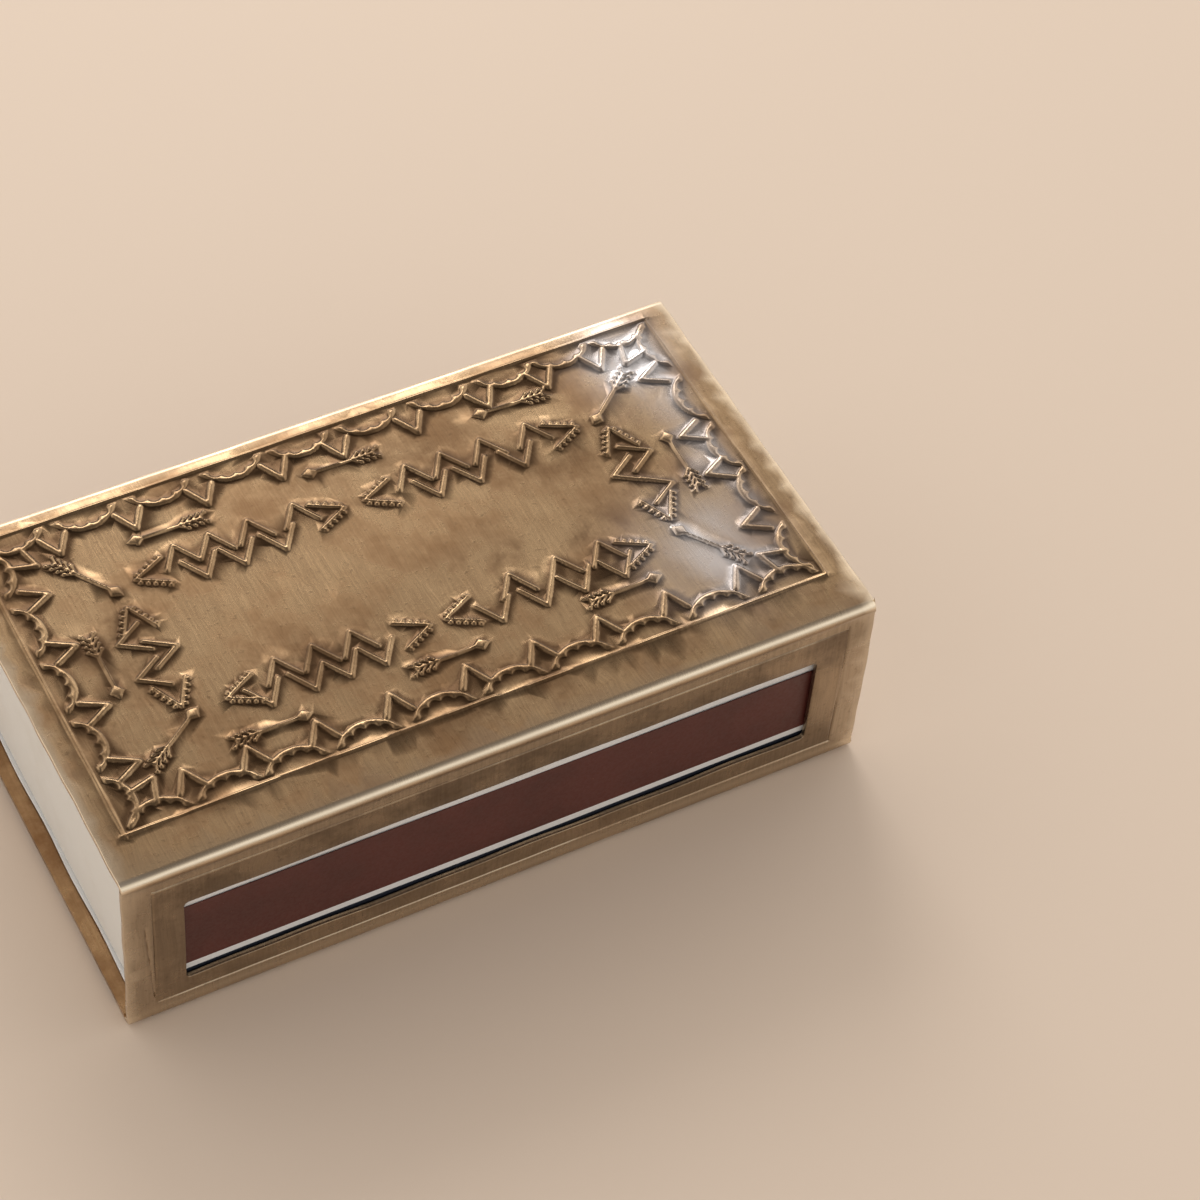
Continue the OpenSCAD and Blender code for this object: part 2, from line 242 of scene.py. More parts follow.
def crescent(lx, ly):
    """A band on a chord along X that bulges towards +Y, with lobes of plain metal biting into it."""
    half = crescent_l / 2
    outer = (half * half + crescent_rise * crescent_rise) / (2 * crescent_rise)
    inner = outer - 0.3
    inner_y = crescent_rise - crescent_band - inner
    found = outer - np.hypot(lx, ly - crescent_rise + outer)
    found = np.minimum(found, np.hypot(lx, ly - inner_y) - inner)
    for angle in LOBES:
        reach = inner - lobe_r / 2
        cx = reach * math.sin(math.radians(angle))
        cy = inner_y + reach * math.cos(math.radians(angle))
        found = np.minimum(found, np.hypot(lx - cx, ly - cy) - lobe_r)
    return np.minimum(found, ly)


def comb(lx, ly):
    """Two bars from the origin towards +X, each with a row of beads on its outer side."""
    length, half, beads = 5.0, 2.6, 5
    found = np.full_like(lx, -9.0)
    for side in (-1, 1):
        found = np.maximum(found, 0.34 - off_line(lx, ly, (0, 0), (length, side * half)))
        arm = math.hypot(length, half)
        for k in range(beads):
            t = (k + 0.7) / beads
            bx = t * length - side * side * half / arm * 0.5
            by = side * (t * half + length / arm * 0.5)
            found = np.maximum(found, 0.42 - np.hypot(lx - bx, ly - by))
    return found


def arrow(lx, ly):
    """An arrow along X with a lozenge head at -X and three curled barbs on each side of its tail."""
    tip, head, head_half, tail = -6.65, 3.0, 1.15, 6.2
    lozenge = 1 - np.abs(lx - tip - head / 2) / (head / 2) - np.abs(ly) / head_half
    found = np.maximum(lozenge * 0.75, 0.3 - off_line(lx, ly, (tip + 2, 0), (tail - 0.8, 0)))
    for side in (-1, 1):
        for k in range(4):
            root = 1.9 + k * 1.05
            end = (root + 1.15, side * 1.0)
            found = np.maximum(found, 0.26 - off_line(lx, ly, (root, side * 0.15), end))
            found = np.maximum(found, 0.36 - np.hypot(lx - end[0], ly - end[1]))
    return found


print("punches: chevron, crescent, comb, arrow, liner")

# %% [markdown]
# The stamps were set by eye, so no two gaps are alike. The even layout comes from a loop, and each
# stamp's drift from it, in millimetres, was read off the real piece.

# %% Strike the border
LINE_H, BAND_H, FRAME_H = 0.4, 0.36, 0.26
chevron_reach, chevron_d, chevron_half = 6.9, 3.7, 2.1
drift_back = (0.2, 0.9, 1.2, 2.1, 1, 2.1, 3, 1.9, -0.2)
drift_front = (0.4, -1.1, -1.6, -1.2, -0.3, -0.7, -1.3, -1.2, -0.4)
drift_left = (-0.6, -1.1, -0.7, -1.7)
drift_right = (1.9, 1.7, -1.5, 0.1)
to_panel = move(0, panel_y)


def border_side(place, length, drift):
    """One side of the border. Its own X runs along the frame line and its +Y into the panel."""
    count = len(drift) + 1
    marks = [-length / 2] + [(i + 1) * length / count - length / 2 + d for i, d in enumerate(drift)]
    marks.append(length / 2)
    for a, b in zip(marks, marks[1:]):
        strike(place @ move((a + b) / 2, 0.9), 7, crescent, BAND_H, 0.42)
    for x in marks[1:-1]:
        strike(place @ move(x, chevron_reach), 6, chevron(chevron_d, chevron_half, CHEVRON_W), LINE_H, 0.44)


border_side(to_panel @ move(0, -panel_w / 2), panel_l, drift_front)
border_side(to_panel @ move(0, panel_w / 2) @ FLIP_Y, panel_l, drift_back)
border_side(to_panel @ move(-panel_l / 2, 0) @ SWAP, panel_w, drift_left)
border_side(to_panel @ move(panel_l / 2, 0) @ turn(90), panel_w, drift_right)
for sx in (-1, 1):
    for sy in (-1, 1):
        corner = move(sx * (panel_l / 2 - 7.5), sy * (panel_w / 2 - 7.5))
        outward = turn(math.degrees(math.atan2(sx, -sy)))
        strike(to_panel @ corner @ outward, 6, chevron(chevron_d, chevron_half, CHEVRON_W), LINE_H, 0.44)
print("border struck, highest", round(float(relief.max()), 2), "mm")

# %% Strike the zigzags and the arrows
zig_pitch, zig_h, comb_reach = 6.6, 7.7, 7.5
ZIGZAG = chevron(4.2, 2.7, ZIGZAG_W)
zig_drift = (
    ((-0.7, -0.6, -1.5, -1.6, -2, -1.9, -2, -1, -1.5), (-1.6, -0.7, -1.4, -1.3, -1.2, -1.2, -0.2, 0, -0.2)),
    ((2.5, 0.5, 0.7, 0.8, 0.1, -0.2, -0.3, -1.2, 0.2), (-0.7, -0.5, 0.8, 0.2, 1.9, 0, 2.6, 0.2, -1)),
)
zig_end_drift = ((0.3, 0, 0.2, 0.4, -1.1), (0.3, -0.5, -1.4, 0.1, -1.1))
zig_end_shift = (-1.1, 0.1)
corner_slopes = ((34, 53), (54, 38))
arrow_back, arrow_front = (0, 1.2, 1.4), (-0.5, 0.5, 1.1)


def zigzag(place, drift):
    """A row of chevrons that point up and down by turns, between two combs."""
    count = len(drift) - 2
    half_span = (count - 1) * zig_pitch / 4
    for i in range(count):
        at = place @ move(i * zig_pitch / 2 - half_span + drift[i + 1], 0) @ turn(180 * (i % 2))
        strike(at @ move(0, zig_h / 2), 6.5, ZIGZAG, LINE_H)
    strike(place @ move(drift[0] - half_span - comb_reach, 0), 7, comb, LINE_H, 0.3)
    strike(place @ move(drift[-1] + half_span + comb_reach, 0) @ FLIP_X, 7, comb, LINE_H, 0.3)


for i, side in enumerate((-1, 1)):
    row, column = panel_w / 2 - 16, panel_l / 2 - 16.3
    zigzag(to_panel @ move(side * 19.1, row), zig_drift[0][i])
    zigzag(to_panel @ move(side * 19.1, -row) @ FLIP_Y, zig_drift[1][i])
    zigzag(to_panel @ move(side * column, zig_end_shift[i]) @ turn(-90 * side), zig_end_drift[i])

arrow_places = []
for i in range(3):
    arrow_places.append(move((i - 1) * 29, panel_w / 2 - 9 + arrow_back[i]))
    arrow_places.append(move((i - 1) * 29 - 1.5, 9 - panel_w / 2 + arrow_front[i]) @ turn(180))
arrow_places.append(move(9 - panel_l / 2, 0) @ turn(90))
arrow_places.append(move(panel_l / 2 - 9, 0) @ turn(-90))
for iy, sy in enumerate((-1, 1)):
    for ix, sx in enumerate((-1, 1)):
        slope = math.radians(corner_slopes[iy][ix])
        lean = math.degrees(math.atan2(sy * math.sin(slope), sx * math.cos(slope)))
        arrow_places.append(move(sx * (panel_l / 2 - 13), sy * (panel_w / 2 - 12.6)) @ turn(lean))
for place in arrow_places:
    strike(to_panel @ place, 8.5, arrow, LINE_H, 0.26)
print(len(arrow_places), "arrows")

# %% [markdown]
# The frame line is a straight liner, struck many times end to end, so it wanders a little and two
# strokes don't quite meet. Struck metal also swells round every stamp: the relief, blurred and
# added in part, gives that pillow.

# %% Frame lines and swelling
def liner(a, b, height=FRAME_H, half=0.26):
    """One straight raised stroke from a to b, on the panel's own axes."""
    middle = ((a[0] + b[0]) / 2, (a[1] + b[1]) / 2 + panel_y)
    long = math.dist(a, b) / 2
    i0, i1 = np.searchsorted(columns, (middle[0] - long - 1, middle[0] + long + 1))
    j0, j1 = np.searchsorted(rows, (middle[1] - long - 1, middle[1] + long + 1))
    px, py = sheet_x[j0:j1, i0:i1], sheet_y[j0:j1, i0:i1] - panel_y
    wander = 0.06 * np.sin(px * 0.35 + a[0]) + 0.05 * np.sin(py * 0.41 + a[1])
    inside = half - np.abs(off_line(px, py, a, b) + wander)
    raised = height * smooth((inside + 0.12) / 0.34)
    np.maximum(relief[j0:j1, i0:i1], raised, out=relief[j0:j1, i0:i1])


half_l, half_w = panel_l / 2, panel_w / 2
liner((-half_l - 0.6, -half_w - 0.05), (1.6, -half_w + 0.12))
liner((1.2, -half_w - 0.16), (half_l + 0.3, -half_w))
liner((-half_l - 0.6, half_w), (half_l + 0.4, half_w))
liner((-half_l, -half_w - 0.5), (-half_l, half_w + 0.5))
liner((half_l, -half_w - 0.3), (half_l - 0.25, half_w + 0.4))


def blur(field, cells, times=3):
    """Spreads a field over a few cells each way."""
    for _ in range(times):
        for axis in (0, 1):
            field = sum(np.roll(field, k, axis) for k in range(-cells, cells + 1)) / (2 * cells + 1)
    return field


swell = blur(relief, max(1, round(0.9 / CELL)))
print("swelling up to", round(float(swell.max()), 2), "mm")

# %% [markdown]
# No hand-beaten sheet is flat. A sum of slow waves in random directions gives each surface dents
# of a tenth of a millimetre, which show only in what it reflects. The walls are drawn in at the
# folds and stand out in the middle, and they carry a scribed frame round each window.

# %% Unevenness and scribed lines
LIFT_SPARE = 0.03


def ripple(x, y, seed, shortest, longest, waves=9):
    """A smooth uneven field between about -1 and 1, with wavelengths in the range given."""
    pick = random.Random(seed)
    total = np.zeros_like(x)
    for _ in range(waves):
        angle, phase = pick.uniform(0, math.pi), pick.uniform(0, 2 * math.pi)
        k = 2 * math.pi / pick.uniform(shortest, longest)
        total += np.sin(k * (x * math.cos(angle) + y * math.sin(angle)) + phase)
    return total / (0.55 * waves)


wall_z = wall_start + cover_h - fold_r - np.abs(sheet_y)
on_wall = smooth((np.abs(sheet_y) - wall_start) / 0.8) * smooth((lower_start - np.abs(sheet_y)) / 0.8)
front = sheet_y < 0
lift = relief * 0.95 + swell * 0.12
lift -= 0.05 * (1 + ripple(sheet_x, sheet_y, 3, 16, 60)) + 0.012 * (1 + ripple(sheet_x, sheet_y, 4, 4, 11))
bow = 1 - np.clip(np.abs(wall_z - cover_h * 0.52) / (cover_h * 0.5), 0, 1) ** 2
lift -= on_wall * 0.3 * (1 - bow)


def scribe(a, b, only, depth=0.2, half=0.17):
    """Cuts one scribed line into a wall from a to b, given as (x, z) pairs, with a fine burr beside it."""
    global lift
    d = half - off_line(sheet_x, wall_z, a, b)
    near = (np.abs(sheet_y) > wall_start) & (np.abs(sheet_y) < lower_start) & only
    lift = lift - near * (depth * smooth((d + 0.08) / (half + 0.08)) - 0.03 * smooth((d + 0.4) / 0.3))


for wall in (front, ~front):
    scribe((-scribe_half + 0.4, scribe_low), (scribe_half, scribe_low + 0.1), wall)
    scribe((-scribe_half, scribe_high + 0.1), (scribe_half - 0.4, scribe_high), wall)
    scribe((-scribe_half, scribe_low - 0.6), (-scribe_half + 0.2, scribe_high + 0.5), wall)
    scribe((scribe_half - 0.1, scribe_low), (scribe_half + 0.1, scribe_high + 0.8), wall)
scribe((-scribe_half - 1.2, 23.5), (-scribe_half - 0.1, scribe_low + 1.5), front, 0.26, 0.2)
scribe((-45, scribe_high + 0.9), (scribe_half, scribe_high + 1.2), front, 0.05, 0.12)
lift = np.minimum(lift, relief_h - LIFT_SPARE)
print("dents down to", round(float(lift.min()), 2), "mm")

# %% [markdown]
# Handling has left its marks. Fingers keep the open ends bright, and tarnish stays in clouds on the
# top. Light is painted in as well: a highlight along the top folds, which handling also keeps bright,
# a shade inside the scribed frame and across the walls above the windows, walls paler than the top,
# and a bluish reflection of the window on one corner. Each mark is a soft spot placed on the flat
# sheet, so it stays where it is in every view.

# %% Tarnish, wear and painted light on the sheet
STAINS = (
    (20, -3, 16, 3.2, 0.95), (2, -28, 13, 2.8, 0.8), (-45, 6, 6, 11, 0.5), (32, 12, 13, 5, 0.5),
    (-18, -9, 12, 5, 0.45), (40, -30, 14, 2.4, 0.5), (-52, -14, 4, 8, 0.5), (8, 22, 18, 4, 0.4),
)
# Painted reflection of the window on the right end of the top: place x and y, width, height and strength of
# each spot.
SHEEN_SPOTS = ((43, -14, 8, 9, 0.7), (50, 25, 6, 8, 0.9), (52, 4, 3, 12, 0.45))


def spots(marks):
    """Adds up soft spots, each given as place x and y, width, height and strength."""
    total = np.zeros_like(sheet_x)
    for x, y, wide, high, strength in marks:
        total += strength * np.exp(-((sheet_x - x) / wide) ** 2 - ((sheet_y - y) / high) ** 2)
    return total


def near(value, middle, width):
    return np.exp(-((value - middle) / width) ** 2)


from_fold = np.abs(np.abs(sheet_y) - (top_half + wall_start) / 2)
# Painted shade on the wall inside the scribed frame, so the end posts outside it stay lighter.
frame_shade = on_wall * (np.abs(sheet_x) < scribe_half) * (wall_z < scribe_high)
frame_shade = frame_shade * smooth((wall_z - scribe_low) / 0.6)
tones = {
    "tarnish_and_shade": spots(STAINS) * (1 + 0.35 * ripple(sheet_x, sheet_y, 9, 5, 22))
    # Painted shade inside the scribed frame and in a band across the walls above the windows, added to the
    # real tarnish clouds.
    + 0.3 * frame_shade + 0.35 * on_wall * near(wall_z, 29, 3.2),
    # Partly real wear and partly painted highlight: a bright line along the two top folds, which handling
    # also keeps bright. The open ends and the lower folds are worn bright.
    "wear_and_fold_highlight": near(from_fold, 0, 0.75) + 0.5 * near(np.abs(sheet_x), cover_l / 2, 0.7)
    + 0.35 * near(np.abs(sheet_y), lower_start, 1.2),
    # Painted reflection: bluish-white spots of window sheen on the right end of the top.
    "painted_sheen": spots(SHEEN_SPOTS) * (1 + 0.5 * ripple(sheet_x, sheet_y, 12, 3, 14)),
    # Painted light: the walls are made paler than the top, less so inside the scribed frame.
    "painted_wall_light": on_wall * (1 - 0.35 * frame_shade),
}
print("tones:", ", ".join(tones))

# %% [markdown]
# Now the blank becomes a mesh: one grid from the operator, with the faces inside the windows taken
# out. Its corners are then moved where the section of the folded sheet puts them, pushed out along
# the surface by the relief. The wall gets its thickness last, so that the back of each stamp is
# hollow, as in real embossing.

# %% Fold the sheet
END_WOBBLE = 0.16
EDGE_WAVE = 0.2


def section(v):
    """Where the place v on the sheet's section lies after folding, and its outward direction."""
    s, side = np.abs(v), np.where(v < 0, -1.0, 1.0)
    half, high, r = cover_w / 2, cover_h, fold_r
    upper, lower = (s - top_half) / r, (s - lower_start) / r
    parts = [s < top_half, s < wall_start, s < lower_start, s < flange_start]
    y = np.select(parts, [s, half - r + r * np.sin(upper), half + 0 * s, half - r + r * np.cos(lower)],
                  half - r - (s - flange_start))
    z = np.select(parts, [high + 0 * s, high - r + r * np.cos(upper), high - r - (s - wall_start),
                          r - r * np.sin(lower)], 0)
    ny = np.select(parts, [0 * s, np.sin(upper), 1 + 0 * s, np.cos(lower)], 0)
    nz = np.select(parts, [1 + 0 * s, np.cos(upper), 0 * s, -np.sin(lower)], -1)
    return y * side, z, ny * side, nz


def round_window(x, v):
    """Rounds a window's corners and lets its sawn edges wander."""
    z = wall_start + cover_h - fold_r - np.abs(v)
    walls = (np.abs(v) > wall_start) & (np.abs(v) < lower_start)
    for edge, into in ((window_z, 1), (window_top, -1)):
        run = window_l / 2 - np.abs(x)
        level = walls & (np.abs(z - edge) < 1e-6) & (run >= 0) & (run < window_r)
        angle = math.pi / 4 * (1 - run / window_r)
        dx = window_r * (1 - np.sin(angle)) - run
        dz = window_r * (1 - np.cos(angle))
        new_x = np.where(level, x - np.sign(x) * dx, x)
        new_z = np.where(level, z + into * dz, z)
        rise = (z - edge) * into
        upright = walls & (np.abs(run) < 1e-6) & (rise > 0) & (rise < window_r)
        angle = math.pi / 4 * (1 - rise / window_r)
        new_x = np.where(upright, x - np.sign(x) * window_r * (1 - np.cos(angle)), new_x)
        new_z = np.where(upright, edge + into * window_r * (1 - np.sin(angle)), new_z)
        x, z = new_x, new_z
    wave = 0.6 * np.sin(x * 0.16 + 1) + 0.4 * np.sin(x * 0.37)
    z = z + np.where(walls, EDGE_WAVE * wave * np.exp(-((z - window_z - 0.1) / 1.3) ** 2), 0)
    z = z + np.where(walls, 0.08 * np.sin(x * 0.22) * np.exp(-((z - window_top) / 1.3) ** 2), 0)
    return x, np.where(walls, np.sign(v) * (wall_start + cover_h - fold_r - z), v)


def flat_blank():
    """The grid, as a bmesh, with both windows sawn out. Its corners stand at whole steps."""
    bm = bmesh.new()
    nc, nr = len(columns) - 1, len(rows) - 1
    bmesh.ops.create_grid(bm, x_segments=nc, y_segments=nr, size=1)
    sawn = []
    for face in bm.faces:
        middle = face.calc_center_median()
        i, j = int((middle.x + 1) / 2 * nc), int((middle.y + 1) / 2 * nr)
        x, v = (columns[i] + columns[i + 1]) / 2, abs(rows[j] + rows[j + 1]) / 2
        if abs(x) < window_l / 2 and down_wall(window_top) < v < down_wall(window_z):
            sawn.append(face)
    bmesh.ops.delete(bm, geom=sawn, context="FACES")
    print("blank of", len(bm.faces), "faces,", len(sawn), "sawn out")
    return bm


def set_field(mesh, name, values):
    """Stores one number for each corner of a mesh, under a name that a material can read."""
    mesh.attributes.new(name, "FLOAT", "POINT").data.foreach_set("value", values.astype(np.float32))


def fold_blank(bm, name):
    """Moves the blank's corners to the folded, struck sheet, and lays out its UVs in metres."""
    mesh = bpy.data.meshes.new(name)
    bm.to_mesh(mesh)
    bm.free()
    flat = np.zeros(len(mesh.vertices) * 3)
    mesh.vertices.foreach_get("co", flat)
    flat = flat.reshape(-1, 3)
    i = np.rint((flat[:, 0] + 1) / 2 * (len(columns) - 1)).astype(int)
    j = np.rint((flat[:, 1] + 1) / 2 * (len(rows) - 1)).astype(int)
    x, v = round_window(columns[i], rows[j])
    y, z, ny, nz = section(v)
    out = lift[j, i]
    near_end = np.clip((np.abs(x) - cover_l / 2 + 3) / 3, 0, 1)
    x = x - np.sign(x) * near_end * (0.03 + END_WOBBLE * (1 + np.sin(v * 0.21 + 2) * np.cos(v * 0.53)) / 2)
    place = np.stack([x, y + out * ny, z + out * nz], 1) * MM
    mesh.vertices.foreach_set("co", place.ravel())
    set_field(mesh, "relief", relief[j, i] / relief_h)
    # The stamps' feet: darkened in the material as patina and as painted shade in place of occlusion.
    set_field(mesh, "foot_patina_and_shade", swell[j, i] - 0.5 * relief[j, i])
    for label, field in tones.items():
        set_field(mesh, label, field[j, i])
    uv = mesh.uv_layers.new(name="sheet")
    corner = np.zeros(len(mesh.loops), int)
    mesh.loops.foreach_get("vertex_index", corner)
    uv.data.foreach_set("uv", (np.stack([x, v], 1)[corner] * MM).ravel())
    mesh.update()
    return mesh


blank = fold_blank(flat_blank(), "embossed_cover")
print("folded", len(blank.vertices), "corners")

# %% [markdown]
# Solidify gives the sheet its 0.9 mm, inwards. The sawn edges get a small bevel, because a sharp
# corner catches no light. They are told apart here, while inner and outer corners still can be,
# and take a darker finish of their own. Decimate then thins what is flat and leaves the stamps.

# %% Thickness, edges and thinning
RIM_BEVEL = 0.13
FACES_KEPT = 188000


def thicken(mesh, thickness, bevel):
    """Turns an open sheet into a closed shell, with its cut edges bevelled and marked as material 1."""
    bm = bmesh.new()
    bm.from_mesh(mesh)
    bmesh.ops.recalc_face_normals(bm, faces=bm.faces)
    outer_count = len(bm.verts)
    bmesh.ops.solidify(bm, geom=bm.faces[:], thickness=thickness)
    bm.verts.index_update()
    for face in bm.faces:
        kinds = {vert.index < outer_count for vert in face.verts}
        face.material_index = 1 if len(kinds) == 2 else 0
    sharp = [e for e in bm.edges if len({f.material_index for f in e.link_faces}) == 2]
    bmesh.ops.bevel(bm, geom=sharp, offset=bevel, segments=2, profile=0.5, affect="EDGES", material=-1)
    bmesh.ops.recalc_face_normals(bm, faces=bm.faces)
    bm.to_mesh(mesh)
    bm.free()
    return len(sharp)


def thin_out(mesh, name, faces):
    """Decimates a mesh to about the number of triangles given."""
    triangles = sum(len(p.vertices) - 2 for p in mesh.polygons)
    holder = bpy.data.objects.new(name, mesh)
    bpy.context.scene.collection.objects.link(holder)
    modifier = holder.modifiers.new("thin", "DECIMATE")
    modifier.ratio = min(1, faces / triangles)
    ready = bpy.data.meshes.new_from_object(
        holder.evaluated_get(bpy.context.evaluated_depsgraph_get())
    )
    bpy.data.objects.remove(holder)
    ready.name = name
    print(name, "from", triangles, "to", len(ready.polygons), "triangles")
    return ready


def keep_inside(mesh, low, high):
    """Thinning may push a corner out by a few hundredths of a millimetre, so it is brought back."""
    place = np.zeros(len(mesh.vertices) * 3)
    mesh.vertices.foreach_get("co", place)
    place = np.clip(place.reshape(-1, 3), np.array(low) + 1e-6, np.array(high) - 1e-6)
    mesh.vertices.foreach_set("co", place.ravel())
    mesh.update()


print("sawn edges:", thicken(blank, sheet_t * MM, RIM_BEVEL * MM))
cover_mesh = thin_out(blank, "embossed_cover", FACES_KEPT)
for polygon in cover_mesh.polygons:
    polygon.use_smooth = True
cover_mesh.set_sharp_from_angle(angle=math.radians(50))
keep_inside(cover_mesh, shell_low, shell_high)


def add_piece(mesh, name, body, slot, *nodes):
    """Puts a finished mesh in the scene as a piece that rides on a body and stands for CAD nodes."""
    piece = bpy.data.objects.new(name, mesh)
    bpy.context.scene.collection.objects.link(piece)
    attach(piece, body)
    if nodes:
        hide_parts(*nodes)
    return piece


cover = add_piece(cover_mesh, "embossed_cover", "cover", "cover_brass", "cover_shell")
print("cover", [round(c / MM, 2) for c in cover.dimensions], "mm")

# %% [markdown]
# A few helpers keep the materials short. A node group holds what brass has everywhere: the fine
# lines of the polishing cloth, the clouds of tarnish and the pits. Each metal mixes these its own way.

# %% Helpers for materials
def node(tree, kind, inputs=None, **settings):
    """Adds a node. Each input is a plain value or another node's socket."""
    made = tree.nodes.new(kind)
    for name, value in settings.items():
        setattr(made, name, value)
    for name, value in (inputs or {}).items():
        if isinstance(value, bpy.types.NodeSocket):
            tree.links.new(value, made.inputs[name])
        else:
            made.inputs[name].default_value = value
    return made


def spread(tree, value, low, high, to_low=0.0, to_high=1.0):
    """Carries a value from one range to another, with a soft start and end."""
    inputs = {"Value": value, "From Min": low, "From Max": high, "To Min": to_low, "To Max": to_high}
    return node(tree, "ShaderNodeMapRange", inputs, interpolation_type="SMOOTHSTEP").outputs["Result"]


def sum_up(tree, a, b, operation="ADD"):
    return node(tree, "ShaderNodeMath", {0: a, 1: b}, operation=operation, use_clamp=True).outputs[0]


def blend(tree, factor, a, b):
    """Mixes two colours."""
    pair = [(*c, 1) if isinstance(c, tuple) else c for c in (a, b)]
    return node(tree, "ShaderNodeMix", {0: factor, 6: pair[0], 7: pair[1]}, data_type="RGBA").outputs[2]


def noise(tree, place, scale, detail=4.0, roughness=0.6):
    inputs = {"Vector": place, "Scale": scale, "Detail": detail, "Roughness": roughness}
    return node(tree, "ShaderNodeTexNoise", inputs).outputs[0]


def stretched(tree, place, scale):
    return node(tree, "ShaderNodeMapping", {"Vector": place, "Scale": scale}).outputs[0]


def new_group(name, outputs):
    """A node group with one vector in and the numbers named coming out."""
    tree = bpy.data.node_groups.new(name, "ShaderNodeTree")
    tree.interface.new_socket(name="Vector", in_out="INPUT", socket_type="NodeSocketVector")
    for label in outputs:
        tree.interface.new_socket(name=label, in_out="OUTPUT", socket_type="NodeSocketFloat")
    return tree, tree.nodes.new("NodeGroupInput").outputs["Vector"], tree.nodes.new("NodeGroupOutput")


def make_metal_age():
    tree, place, out = new_group("metal_age", ("Streak", "Cloud", "Pits"))
    brushed = noise(tree, stretched(tree, place, (2600, 90, 90)), 1.0, 5.0, 0.65)
    clouds = noise(tree, place, 70.0, 7.0, 0.66)
    tree.links.new(spread(tree, brushed, 0.3, 0.7), out.inputs["Streak"])
    tree.links.new(spread(tree, clouds, 0.34, 0.66), out.inputs["Cloud"])
    tree.links.new(spread(tree, noise(tree, place, 1100.0, 3.0), 0.55, 0.75), out.inputs["Pits"])
    return tree


def make_fibre():
    tree, place, out = new_group("paper_fibre", ("Fibre", "Soil"))
    tree.links.new(noise(tree, stretched(tree, place, (1500, 500, 500)), 1.0, 6.0), out.inputs["Fibre"])
    tree.links.new(spread(tree, noise(tree, place, 60.0, 5.0), 0.45, 0.75), out.inputs["Soil"])
    return tree


metal_age, paper_fibre = make_metal_age(), make_fibre()


def use_group(tree, group, place):
    made = tree.nodes.new("ShaderNodeGroup")
    made.node_tree = group
    tree.links.new(place, made.inputs["Vector"])
    return made.outputs


def new_material(name):
    """A material with its tree, its Principled shader and the object's own coordinates."""
    material = bpy.data.materials.new(name)
    material.use_nodes = True
    tree = material.node_tree
    place = tree.nodes.new("ShaderNodeTexCoord").outputs["Object"]
    return material, tree, tree.nodes["Principled BSDF"], place


def finish(tree, shader, color, rough, height, depth, strength=0.4):
    """Connects a colour, a roughness and a bump to the shader. depth is in metres."""
    for value, name in ((color, "Base Color"), (rough, "Roughness")):
        if isinstance(value, bpy.types.NodeSocket):
            tree.links.new(value, shader.inputs[name])
        else:
            shader.inputs[name].default_value = value
    bump = node(tree, "ShaderNodeBump", {"Height": height, "Distance": depth, "Strength": strength})
    tree.links.new(bump.outputs[0], shader.inputs["Normal"])


print("node groups:", metal_age.name, paper_fibre.name)

# %% [markdown]
# Old brass isn't one colour. The cover is brown where it is tarnished, straw-coloured where it is
# handled, and nearly black at the foot of each stamp: patina where no cloth reaches, with painted
# shade in place of occlusion. Light is painted in as well: paler walls, a shade across the walls, a
# highlight along the folds and a bluish reflection of the window on one corner. Metal takes its look
# from what it mirrors, so colour and roughness change together: tarnish, and the painted shade with
# it, is duller than bare metal.

# %% Brass, solder
BRASS_DARK, BRASS_BROWN, BRASS_STRAW = (0.055, 0.03, 0.015), (0.2, 0.118, 0.06), (0.38, 0.26, 0.148)
# BRASS_PALE is painted light for the walls, BRASS_BRIGHT is wear plus a painted fold highlight, and the
# last colour is a painted window reflection.
BRASS_PALE, BRASS_BRIGHT, PAINTED_SHEEN_COLOR = (0.50, 0.395, 0.28), (0.88, 0.76, 0.59), (0.66, 0.66, 0.69)


